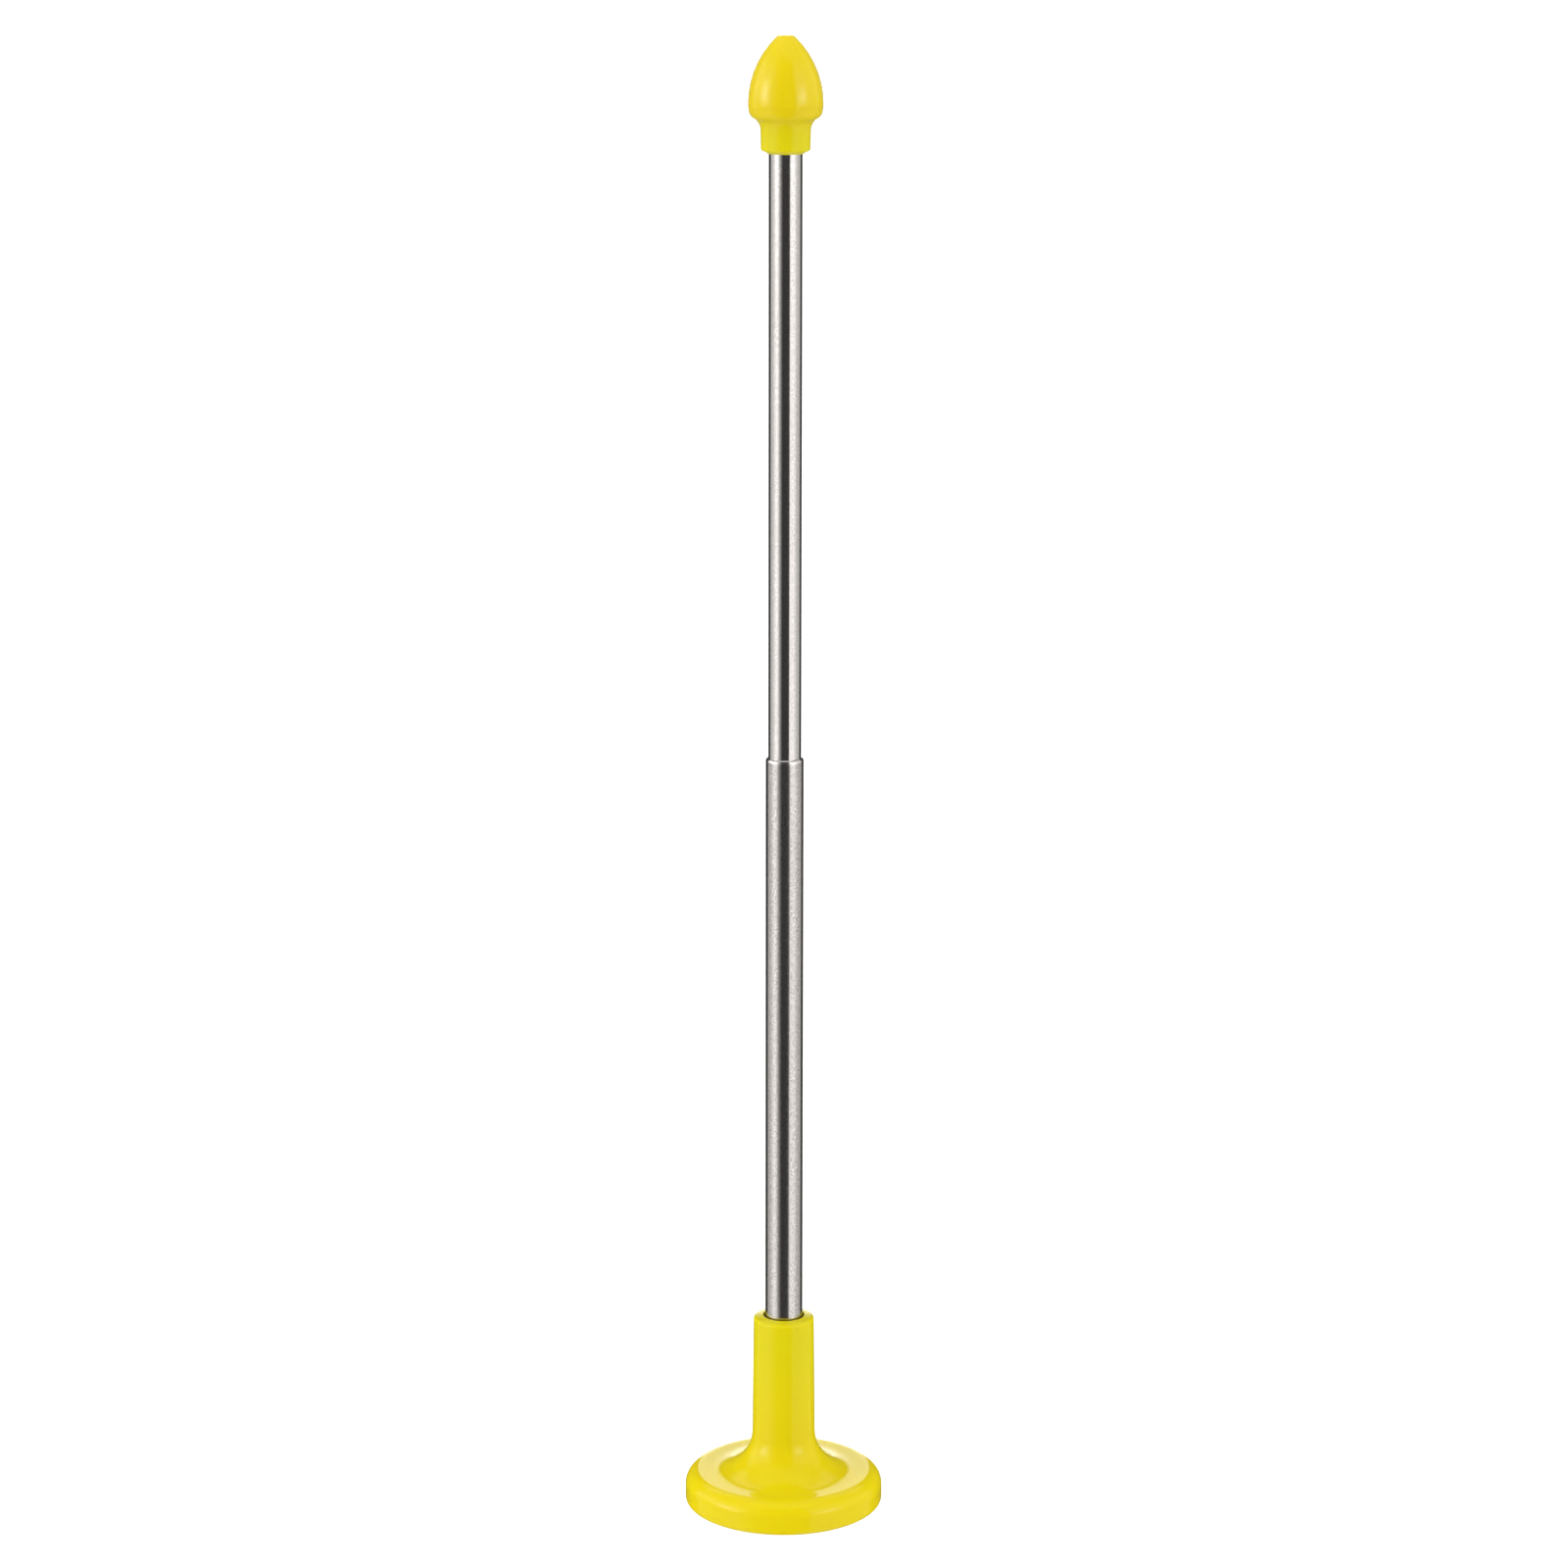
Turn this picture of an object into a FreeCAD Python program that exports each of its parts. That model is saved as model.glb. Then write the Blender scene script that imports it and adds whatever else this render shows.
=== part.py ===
import FreeCAD, Part
import math
import operator
import os

import Sketcher

# A telescopic rod on a round magnetic foot. A glossy plastic foot with a flared neck holds a steel
# tube. A second, thinner tube slides in and out of the first and turns in it, and carries a bullet
# shaped plastic tip. Nearly every piece is turned about the Z axis. Z = 0 is the plane that the
# rubber ring under the foot rests on, +Z is up, and the rod is drawn fully pulled out.

# Lengths in millimetres and heights above Z = 0. Names that end in _degrees are angles.
DRIVING_SIZES = {
    # Gap between pieces that are pressed or screwed together, and the gap that is left at the stop.
    "static_gap": 0.02,
    "stop_gap": 0.3,
    # Foot moulding, outside.
    "foot_radius": 20.0,
    "foot_underside": 0.2,
    "foot_plateau": 6.95,
    "foot_lower_round": 1.1,
    "foot_upper_round": 3.1,
    "flare_round": 8.45,
    "neck_radius_low": 6.35,
    "neck_radius_high": 6.1,
    "neck_top": 40.05,
    "neck_rim_round": 0.65,
    "neck_crown_degrees": 12.0,
    # Foot moulding, socket for the lower tube.
    "mouth_radius": 4.1,
    "mouth_round": 0.15,
    "mouth_depth": 1.2,
    "socket_floor": 9.0,
    # Underside: rubber ring, magnet and steel plate in their seats.
    "ring_outer_radius": 17.35,
    "ring_inner_radius": 15.25,
    "ring_thickness": 1.7,
    "ring_edge_round": 0.3,
    "magnet_radius": 15.0,
    "magnet_face": 0.35,
    "magnet_thickness": 3.0,
    "magnet_edge_round": 0.3,
    "plate_thickness": 1.0,
    "plate_chamfer": 0.2,
    "seat_gap": 0.1,
    # M4 thread, modelled as ring grooves, and the hole that passes it.
    "thread_radius": 1.98,
    "thread_pitch": 0.7,
    "thread_depth": 0.32,
    "thread_clearance": 0.04,
    "screw_hole_radius": 2.25,
    # Countersunk screw with a cross recess.
    "head_radius": 3.9,
    "head_face": 0.55,
    "head_land": 0.25,
    "screw_end": 16.0,
    "thread_run_in": 2.8,
    "recess_length": 4.4,
    "recess_width": 0.9,
    "recess_depth": 1.5,
    # Lower tube, and the brass plug that it is rolled on to.
    "lower_tube_radius": 3.75,
    "tube_wall": 0.3,
    "lip_radius": 3.29,
    "lip_top": 155.7,
    "lip_round": 1.0,
    "lip_land": 0.08,
    "plug_flange": 0.8,
    "plug_top": 18.5,
    "plug_chamfer": 0.4,
    "crimp_height": 13.6,
    "crimp_half_width": 0.8,
    "crimp_depth": 0.3,
    # Upper tube, sliding bush and grip leaves.
    "upper_tube_radius": 3.25,
    "bush_collar_radius": 3.4,
    "bush_collar_height": 1.5,
    "bush_waist_radius": 2.95,
    "bush_waist_height": 6.6,
    "bush_bore_radius": 1.2,
    "bush_spigot": 6.0,
    "brass_chamfer": 0.25,
    "leaf_thickness": 0.2,
    "leaf_height": 6.2,
    "leaf_bow": 0.25,
    "leaf_degrees": 148.0,
    # Stud in the upper tube's top end.
    "stud_flange": 0.8,
    "stud_spigot": 7.0,
    "stud_end": 290.9,
    "slot_width": 0.8,
    "slot_depth": 1.0,
    # Bullet shaped tip: collar, undercut cone, shoulder, ogive and blunt nose.
    "tip_bottom": 273.7,
    "tip_top": 296.0,
    "tip_radius": 7.23,
    "tip_widest": 283.1,
    "ogive_round": 17.3,
    "nose_round": 1.0,
    "shoulder_blend_round": 6.9,
    "shoulder_blend_degrees": 13.5,
    "shoulder_round": 1.9,
    "cone_degrees": 35.0,
    "collar_fillet": 2.45,
    "collar_radius_high": 4.84,
    "collar_radius_low": 4.77,
    "collar_round": 0.6,
    "collar_bevel": 0.38,
    "tube_seat_depth": 10.0,
    "tip_thread_depth": 6.8,
}

LEAF_TURNS = {"grip_leaf_left": 180.0, "grip_leaf_right": 0.0}
OPERATIONS = {"+": operator.add, "-": operator.sub, "*": operator.mul, "/": operator.truediv}


class Size:
    """A number with the sheet expression that gives it, so that sums of sizes stay bound to the sheet."""

    def __init__(self, value, text):
        self.value = value
        self.text = text

    def joined(self, sign, other):
        other = as_size(other)
        return Size(OPERATIONS[sign](self.value, other.value), f"({self.text} {sign} {other.text})")

    def __add__(self, other):
        return self.joined("+", other)

    def __sub__(self, other):
        return self.joined("-", other)

    def __mul__(self, other):
        return self.joined("*", other)

    def __truediv__(self, other):
        return self.joined("/", other)


def as_size(value):
    return value if isinstance(value, Size) else Size(float(value), repr(float(value)))


def root(size):
    return Size(math.sqrt(size.value), f"sqrt({size.text})")


def sine(degrees):
    return Size(math.sin(math.radians(degrees.value)), f"sin({degrees.text} * 1 deg)")


def cosine(degrees):
    return Size(math.cos(math.radians(degrees.value)), f"cos({degrees.text} * 1 deg)")


def make_sheet(doc):
    """Puts the driving sizes in an aliased sheet, and gives them back as Size values."""
    sheet = doc.addObject("Spreadsheet::Sheet", "Sizes")
    sizes = {}
    for row, (name, value) in enumerate(DRIVING_SIZES.items(), start=1):
        sheet.set(f"A{row}", name)
        sheet.set(f"B{row}", str(value))
        sheet.setAlias(f"B{row}", name)
        sizes[name] = Size(value, f"Sizes.{name}")
    doc.recompute()
    return sizes


# An outline is a list of edges, each given by where it ends: (across, up, radius, turn). It closes
# from its last edge's end to where its first edge starts.


def line_to(across, up):
    """A straight edge to that point."""
    return (as_size(across), as_size(up), None, 0)


def arc_to(across, up, radius, turn):
    """An arc to that point, shorter than a half turn. turn is 1 to bend left and -1 to bend right."""
    return (as_size(across), as_size(up), as_size(radius), turn)


def edge_geometry(start, end, radius, turn):
    """The sketch geometry of one edge, and the numbers of the vertices it is entered and left by."""
    if radius is None:
        return Part.LineSegment(start, end), 1, 2
    chord = end - start
    height = math.sqrt(max(radius.value**2 - (chord.Length / 2) ** 2, 0.0))
    to_centre = FreeCAD.Vector(-chord.y, chord.x, 0).normalize() * (height * turn)
    centre = (start + end) * 0.5 + to_centre
    circle = Part.Circle(centre, FreeCAD.Vector(0, 0, 1), radius.value)
    first = math.atan2(start.y - centre.y, start.x - centre.x)
    last = math.atan2(end.y - centre.y, end.x - centre.x)
    if turn > 0:
        return Part.ArcOfCircle(circle, first, last), 1, 2
    return Part.ArcOfCircle(circle, last, first), 2, 1


def hold_vertex(sketch, edge, vertex, across, up):
    """Holds a vertex at that point, with both distances bound to the sheet."""
    for kind, axis, size in (("DistanceX", -2, across), ("DistanceY", -1, up)):
        if size.value == 0:
            sketch.addConstraint(Sketcher.Constraint("PointOnObject", edge, vertex, axis))
            continue
        index = sketch.addConstraint(Sketcher.Constraint(kind, -1, 1, edge, vertex, size.value))
        sketch.setExpression(f"Constraints[{index}]", size.text)


def outline_sketch(body, name, plane, outline):
    """A closed outline on one of the body's own planes."""
    sketch = body.newObject("Sketcher::SketchObject", name)
    support = next(item for item in body.Origin.OriginFeatures if item.Role == plane)
    sketch.AttachmentSupport = [(support, "")]
    sketch.MapMode = "FlatFace"
    corners = [FreeCAD.Vector(across.value, up.value, 0) for across, up, _, _ in outline]
    vertices = []
    for number, (_, _, radius, turn) in enumerate(outline):
        geometry, entry, leave = edge_geometry(corners[number - 1], corners[number], radius, turn)
        sketch.addGeometry(geometry, False)
        vertices.append((entry, leave))
    for number, (across, up, radius, _) in enumerate(outline):
        following = (number + 1) % len(outline)
        leave, entry = vertices[number][1], vertices[following][0]
        sketch.addConstraint(Sketcher.Constraint("Coincident", number, leave, following, entry))
        hold_vertex(sketch, number, leave, across, up)
        if radius is not None:
            index = sketch.addConstraint(Sketcher.Constraint("Radius", number, radius.value))
            sketch.setExpression(f"Constraints[{index}]", radius.text)
    return sketch


def new_body(doc, label):
    body = doc.addObject("PartDesign::Body", label)
    body.Label = label
    return body


def turned_body(doc, label, outline, degrees=None):
    """A body turned about Z from one outline, all the way round unless degrees is given."""
    body = new_body(doc, label)
    sketch = outline_sketch(body, f"{label}_outline", "XZ_Plane", outline)
    turned = body.newObject("PartDesign::Revolution", f"{label}_turned")
    turned.Profile = sketch
    turned.ReferenceAxis = (sketch, ["V_Axis"])
    if degrees is not None:
        turned.Midplane = True
        turned.setExpression("Angle", degrees.text)
    doc.recompute()
    return body


def rectangle(left, low, right, high):
    return [line_to(left, low), line_to(right, low), line_to(right, high), line_to(left, high)]


def add_pocket(doc, body, name, sketch, length, upwards=False, both_ways=False):
    """Cuts a sketch out of the body, and stops if the cut misses it."""
    before = body.Shape.Volume
    pocket = body.newObject("PartDesign::Pocket", name)
    pocket.Profile = sketch
    pocket.Reversed = upwards
    pocket.Midplane = both_ways
    pocket.setExpression("Length", length.text)
    doc.recompute()
    if body.Shape.Volume >= before:
        raise RuntimeError(f"{name} cuts nothing")
    return pocket


def thread(s, first, last):
    """Zigzag edges up a thread, in whole turns from height first to no higher than height last."""
    crest, pitch = s["thread_radius"], s["thread_pitch"]
    edges = []
    for turn in range(int((last.value - first.value) / pitch.value)):
        start = first + pitch * turn
        edges.append(line_to(crest - s["thread_depth"], start + pitch / 2))
        edges.append(line_to(crest, start + pitch))
    return edges


def plate_top(s):
    return s["magnet_face"] + s["magnet_thickness"] + s["plate_thickness"] + s["static_gap"]


def foot(doc, s):
    """The moulding: round base, flared neck, socket for the tube, and seats underneath."""
    magnet_seat = s["magnet_radius"] + s["seat_gap"]
    magnet_seat_top = plate_top(s) + s["static_gap"]
    ring_seat = s["ring_outer_radius"] + s["static_gap"]
    ring_seat_top = s["ring_thickness"] + s["static_gap"]
    underside, plateau = s["foot_underside"], s["foot_plateau"]
    lower, upper, flare = s["foot_lower_round"], s["foot_upper_round"], s["flare_round"]
    low_neck, high_neck = s["neck_radius_low"], s["neck_radius_high"]
    rim, top = s["neck_rim_round"], s["neck_top"]
    mouth, mouth_round = s["mouth_radius"], s["mouth_round"]
    mouth_bottom = top - s["mouth_depth"]
    # The neck's end is a flat cone that rises inwards, between the rounds of the rim and the mouth.
    lean, drop = sine(s["neck_crown_degrees"]), cosine(s["neck_crown_degrees"])
    cone_inside = mouth + mouth_round + mouth_round * lean
    cone_outside = high_neck - rim + rim * lean
    cone_high = top - mouth_round + mouth_round * drop
    cone_low = cone_high - (cone_outside - cone_inside) * lean / drop
    socket = s["lower_tube_radius"] + s["static_gap"]
    outline = [
        line_to(s["screw_hole_radius"], magnet_seat_top),
        line_to(magnet_seat, magnet_seat_top),
        line_to(magnet_seat, ring_seat_top),
        line_to(ring_seat, ring_seat_top),
        line_to(ring_seat, underside),
        line_to(s["foot_radius"] - lower, underside),
        arc_to(s["foot_radius"], underside + lower, lower, 1),
        line_to(s["foot_radius"], plateau - upper),
        arc_to(s["foot_radius"] - upper, plateau, upper, 1),
        line_to(low_neck + flare, plateau),
        arc_to(low_neck, plateau + flare, flare, -1),
        line_to(high_neck, cone_low - rim * drop),
        arc_to(cone_outside, cone_low, rim, 1),
        line_to(cone_inside, cone_high),
        arc_to(mouth, top - mouth_round, mouth_round, 1),
        line_to(mouth, mouth_bottom),
        line_to(socket, mouth_bottom - (mouth - socket)),
        line_to(socket, s["socket_floor"]),
        line_to(s["screw_hole_radius"], s["socket_floor"]),
    ]
    return turned_body(doc, "foot", outline)


def rubber_ring(doc, s):
    """The ring that the foot stands on, with its two lower edges rounded."""
    inner, outer = s["ring_inner_radius"], s["ring_outer_radius"]
    edge, top = s["ring_edge_round"], s["ring_thickness"]
    outline = [
        line_to(inner, top),
        line_to(inner, edge),
        arc_to(inner + edge, 0, edge, 1),
        line_to(outer - edge, 0),
        arc_to(outer, edge, edge, 1),
        line_to(outer, top),
    ]
    return turned_body(doc, "rubber_ring", outline)


def magnet(doc, s):
    """Disc magnet with rounded edges and a countersunk hole."""
    face = s["magnet_face"]
    top = face + s["magnet_thickness"]
    hole, outer, edge = s["screw_hole_radius"], s["magnet_radius"], s["magnet_edge_round"]
    cone = s["head_radius"] + s["head_land"] + s["head_face"] - face + s["static_gap"] * 2
    outline = [
        line_to(hole, top),
        line_to(hole, face + cone - hole),
        line_to(cone, face),
        line_to(outer - edge, face),
        arc_to(outer, face + edge, edge, 1),
        line_to(outer, top - edge),
        arc_to(outer - edge, top, edge, 1),
    ]
    return turned_body(doc, "magnet", outline)


def steel_plate(doc, s):
    """The flat steel disc behind the magnet."""
    body = new_body(doc, "steel_plate")
    sketch = body.newObject("Sketcher::SketchObject", "steel_plate_outline")
    support = next(item for item in body.Origin.OriginFeatures if item.Role == "XY_Plane")
    sketch.AttachmentSupport = [(support, "")]
    sketch.MapMode = "FlatFace"
    for number, size in enumerate((s["magnet_radius"], s["screw_hole_radius"])):
        circle = Part.Circle(FreeCAD.Vector(0, 0, 0), FreeCAD.Vector(0, 0, 1), size.value)
        sketch.addGeometry(circle, False)
        sketch.addConstraint(Sketcher.Constraint("Coincident", number, 3, -1, 1))
        index = sketch.addConstraint(Sketcher.Constraint("Radius", number, size.value))
        sketch.setExpression(f"Constraints[{index}]", size.text)
    pad = body.newObject("PartDesign::Pad", "steel_plate_pad")
    pad.Profile = sketch
    pad.setExpression("Length", s["plate_thickness"].text)
    doc.recompute()
    rims = []
    for number, edge in enumerate(pad.Shape.Edges, start=1):
        if edge.BoundBox.XMax > s["magnet_radius"].value - 0.1 and len(edge.Vertexes) == 1:
            rims.append(f"Edge{number}")
    chamfer = body.newObject("PartDesign::Chamfer", "steel_plate_rims")
    chamfer.Base = (pad, rims)
    chamfer.setExpression("Size", s["plate_chamfer"].text)
    body.setExpression("Placement.Base.z", (plate_top(s) - s["plate_thickness"]).text)
    doc.recompute()
    return body


def foot_screw(doc, s):
    """The countersunk screw, head down, with a cross recess."""
    face, head, shank = s["head_face"], s["head_radius"], s["thread_radius"]
    cone_start = face + s["head_land"]
    thread_start = s["socket_floor"] - s["thread_run_in"]
    end = s["screw_end"]
    outline = [
        line_to(0, face),
        line_to(head, face),
        line_to(head, cone_start),
        line_to(shank, cone_start + head - shank),
        line_to(shank, thread_start),
        *thread(s, thread_start, end - s["thread_depth"]),
        line_to(shank - s["thread_depth"], end),
        line_to(0, end),
    ]
    body = turned_body(doc, "foot_screw", outline)
    reach, half = s["recess_length"] / 2, s["recess_width"] / 2
    arm = outline_sketch(
        body, "recess_outline", "XY_Plane", rectangle(reach * -1, half * -1, reach, half)
    )
    pocket = add_pocket(doc, body, "recess_arm", arm, face + s["recess_depth"], upwards=True)
    one_arm = body.Shape.Volume
    cross = body.newObject("PartDesign::PolarPattern", "recess_cross")
    cross.Originals = [pocket]
    cross.Axis = (arm, ["N_Axis"])
    cross.Angle = 90
    cross.Occurrences = 2
    body.Tip = cross
    doc.recompute()
    if body.Shape.Volume >= one_arm:
        raise RuntimeError("the cross recess has one arm")
    return body


def crimp_round(s):
    """The radius of the rolled groove, from its half width and depth."""
    half, depth = s["crimp_half_width"], s["crimp_depth"]
    return (half * half + depth * depth) / (depth * 2)


def crimp_up(s, wall):
    """The rolled groove's edges along a wall of that radius, going up on its outer side."""
    low, high = s["crimp_height"] - s["crimp_half_width"], s["crimp_height"] + s["crimp_half_width"]
    return [
        line_to(wall, low),
        arc_to(wall - s["crimp_depth"], s["crimp_height"], crimp_round(s), -1),
        arc_to(wall, high, crimp_round(s), -1),
    ]


def lower_tube(doc, s):
    """The thicker tube: rolled on to its plug near the bottom, and rolled in to a lip at the top."""
    outer, lip, top = s["lower_tube_radius"], s["lip_radius"], s["lip_top"]
    inner = outer - s["tube_wall"]
    bottom = s["socket_floor"] + s["plug_flange"] + s["static_gap"] * 2
    lip_start = top - (outer - lip)
    lip_round, lip_edge = s["lip_round"], lip + s["lip_land"]
    flat_of_round = lip_round - (outer - lip_edge)
    rise = root(lip_round * lip_round - flat_of_round * flat_of_round)
    crimp_high = s["crimp_height"] + s["crimp_half_width"]
    crimp_low = s["crimp_height"] - s["crimp_half_width"]
    outline = [
        line_to(inner, bottom),
        line_to(outer, bottom),
        *crimp_up(s, outer),
        line_to(outer, top - rise),
        arc_to(lip_edge, top, lip_round, 1),
        line_to(lip, top),
        line_to(lip, lip_start + (inner - lip)),
        arc_to(inner, lip_start, inner - lip, -1),
        line_to(inner, crimp_high),
        arc_to(inner - s["crimp_depth"], s["crimp_height"], crimp_round(s), 1),
        arc_to(inner, crimp_low, crimp_round(s), 1),
    ]
    return turned_body(doc, "lower_tube", outline)


def tube_plug(doc, s):
    """The brass plug in the lower tube's foot: a flange under the tube and a thread for the screw."""
    bottom, top = s["socket_floor"] + s["static_gap"], s["plug_top"]
    flange = s["lower_tube_radius"] - s["static_gap"]
    flange_top = bottom + s["plug_flange"]
    barrel = s["lower_tube_radius"] - s["tube_wall"] - s["static_gap"]
    bore = s["thread_radius"] + s["thread_clearance"]
    edge = s["plug_chamfer"]
    outline = [
        line_to(bore, top - edge),
        line_to(bore, bottom + edge),
        line_to(bore + edge, bottom),
        line_to(flange, bottom),
        line_to(flange, flange_top),
        line_to(barrel, flange_top),
        *crimp_up(s, barrel),
        line_to(barrel, top - edge),
        line_to(barrel - edge, top),
        line_to(bore + edge, top),
    ]
    return turned_body(doc, "tube_plug", outline)


def bush_top(s):
    """Height of the bush's upper collar, which stops just short of the lower tube's lip."""
    return s["lip_top"] - (s["lower_tube_radius"] - s["lip_radius"]) - s["stop_gap"]


def upper_tube(doc, s):
    """The thinner tube, from the sliding bush up into the tip."""
    outer = s["upper_tube_radius"]
    inner = outer - s["tube_wall"]
    tube = rectangle(
        inner, bush_top(s) + s["static_gap"], outer, s["tip_bottom"] + s["tube_seat_depth"]
    )
    return turned_body(doc, "upper_tube", tube)


def sliding_bush(doc, s):
    """The brass bush on the upper tube's lower end: two collars, a waist and a vent bore."""
    top, edge, bore = bush_top(s), s["brass_chamfer"], s["bush_bore_radius"]
    collar, waist = s["bush_collar_radius"], s["bush_waist_radius"]
    waist_top = top - s["bush_collar_height"]
    waist_bottom = waist_top - s["bush_waist_height"]
    bottom = waist_bottom - s["bush_collar_height"]
    spigot = s["upper_tube_radius"] - s["tube_wall"] - s["static_gap"]
    spigot_top = top + s["bush_spigot"]
    outline = [
        line_to(bore, spigot_top),
        line_to(bore, bottom),
        line_to(collar - edge, bottom),
        line_to(collar, bottom + edge),
        line_to(collar, waist_bottom),
        line_to(waist, waist_bottom),
        line_to(waist, waist_top),
        line_to(collar, waist_top),
        line_to(collar, top - edge),
        line_to(collar - edge, top),
        line_to(spigot, top),
        line_to(spigot, spigot_top - edge),
        line_to(spigot - edge, spigot_top),
    ]
    return turned_body(doc, "sliding_bush", outline)


def grip_leaf(doc, s, label, turn):
    """One bowed bronze leaf round the bush's waist. Its middle presses on the lower tube's bore."""
    middle = bush_top(s) - s["bush_collar_height"] - s["bush_waist_height"] / 2
    half, bow = s["leaf_height"] / 2, s["leaf_bow"]
    bow_round = (half * half + bow * bow) / (bow * 2)
    inner = s["bush_waist_radius"] + s["static_gap"]
    outer = inner + s["leaf_thickness"]
    outline = [
        line_to(outer, middle - half),
        arc_to(outer + bow, middle, bow_round, 1),
        arc_to(outer, middle + half, bow_round, 1),
        line_to(inner, middle + half),
        arc_to(inner + bow, middle, bow_round, -1),
        arc_to(inner, middle - half, bow_round, -1),
    ]
    body = turned_body(doc, label, outline, s["leaf_degrees"])
    body.Placement.Rotation = FreeCAD.Rotation(FreeCAD.Vector(0, 0, 1), turn)
    doc.recompute()
    return body


def tip_stud(doc, s):
    """The brass stud in the upper tube's top end, threaded above its flange and slotted on top."""
    seat = s["tip_bottom"] + s["tube_seat_depth"]
    flange_bottom = seat + s["static_gap"]
    flange_top = flange_bottom + s["stud_flange"]
    spigot = s["upper_tube_radius"] - s["tube_wall"] - s["static_gap"]
    spigot_bottom = seat - s["stud_spigot"]
    edge, end = s["brass_chamfer"], s["stud_end"]
    outline = [
        line_to(0, spigot_bottom),
        line_to(spigot - edge, spigot_bottom),
        line_to(spigot, spigot_bottom + edge),
        line_to(spigot, flange_bottom),
        line_to(s["upper_tube_radius"], flange_bottom),
        line_to(s["upper_tube_radius"], flange_top),
        line_to(s["thread_radius"], flange_top),
        *thread(s, flange_top, end - s["thread_depth"]),
        line_to(s["thread_radius"] - s["thread_depth"], end),
        line_to(0, end),
    ]
    body = turned_body(doc, "tip_stud", outline)
    half = s["slot_width"] / 2
    slot_outline = rectangle(half * -1, end - s["slot_depth"], half, end + s["slot_depth"])
    slot = outline_sketch(body, "slot_outline", "XZ_Plane", slot_outline)
    add_pocket(doc, body, "driver_slot", slot, s["upper_tube_radius"] * 2, both_ways=True)
    return body


def nose(s):
    """The blunt nose's flat radius, and where its rounding leaves the ogive that it touches."""
    ogive, blunt = s["ogive_round"], s["nose_round"]
    rise = s["tip_top"] - blunt - s["tip_widest"]
    reach = ogive - blunt
    flat = s["tip_radius"] - ogive + root(reach * reach - rise * rise)
    ratio = ogive / reach
    across = s["tip_radius"] - ogive + (flat - s["tip_radius"] + ogive) * ratio
    return flat, across, s["tip_widest"] + rise * ratio


def tip_cap(doc, s):
    """The tip: blunt nose, long ogive, rounded shoulder, undercut cone and a collar round the tube."""
    flat, ogive_across, ogive_up = nose(s)
    blend, blend_angle = s["shoulder_blend_round"], s["shoulder_blend_degrees"]
    shoulder, cone = s["shoulder_round"], s["cone_degrees"]
    widest, radius = s["tip_widest"], s["tip_radius"]
    shoulder_across = radius - blend + (blend - shoulder) * cosine(blend_angle)
    shoulder_up = widest - (blend - shoulder) * sine(blend_angle)
    cone_across = shoulder_across + shoulder * sine(cone)
    cone_up = shoulder_up - shoulder * cosine(cone)
    fillet, collar = s["collar_fillet"], s["collar_radius_high"]
    fillet_across = collar + fillet - fillet * sine(cone)
    fillet_up = cone_up - (cone_across - fillet_across) * sine(cone) / cosine(cone)
    bottom, bevel = s["tip_bottom"], s["collar_bevel"]
    low_collar, collar_round = s["collar_radius_low"], s["collar_round"]
    socket = s["upper_tube_radius"] + s["static_gap"]
    seat = bottom + s["tube_seat_depth"] + s["stud_flange"] + s["static_gap"] * 2
    bore = s["thread_radius"] + s["thread_clearance"]
    outline = [
        line_to(0, seat + s["tip_thread_depth"]),
        line_to(bore, seat + s["tip_thread_depth"]),
        line_to(bore, seat),
        line_to(socket, seat),
        line_to(socket, bottom),
        line_to(socket + bevel, bottom),
        line_to(low_collar - collar_round, bottom + bevel),
        arc_to(low_collar, bottom + bevel + collar_round, collar_round, 1),
        line_to(collar, fillet_up - fillet * cosine(cone)),
        arc_to(fillet_across, fillet_up, fillet, -1),
        line_to(cone_across, cone_up),
        arc_to(
            radius - blend + blend * cosine(blend_angle),
            widest - blend * sine(blend_angle),
            shoulder,
            1,
        ),
        arc_to(radius, widest, blend, 1),
        arc_to(ogive_across, ogive_up, s["ogive_round"], 1),
        arc_to(flat, s["tip_top"], s["nose_round"], 1),
        line_to(0, s["tip_top"]),
    ]
    return turned_body(doc, "tip_cap", outline)


def check_document(doc, bodies):
    """Stops on a failed object or a bad solid."""
    for item in doc.Objects:
        if {"Invalid", "Error"} & set(item.State):
            raise RuntimeError(f"{item.Label} is {item.State}")
    for body in bodies:
        if body.Shape.isNull() or not body.Shape.isValid() or len(body.Shape.Solids) != 1:
            raise RuntimeError(f"{body.Label} is not one valid solid")


def main():
    doc = FreeCAD.newDocument("telescopic_rod")
    sizes = make_sheet(doc)
    makers = (foot, rubber_ring, magnet, steel_plate, foot_screw, lower_tube, tube_plug)
    makers += (upper_tube, sliding_bush, tip_stud, tip_cap)
    bodies = [make(doc, sizes) for make in makers]
    bodies += [grip_leaf(doc, sizes, label, turn) for label, turn in LEAF_TURNS.items()]
    doc.recompute()
    check_document(doc, bodies)
    os.makedirs("parts", exist_ok=True)
    for body in bodies:
        body.Shape.exportStep(f"parts/{body.Label}.step")
        box = body.Shape.BoundBox
        print(f"{body.Label}: {body.Shape.Volume:.1f} mm3, z {box.ZMin:.2f} to {box.ZMax:.2f}")


main()
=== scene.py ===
import math

import bmesh
import bpy
from mathutils import Matrix, Vector


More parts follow.
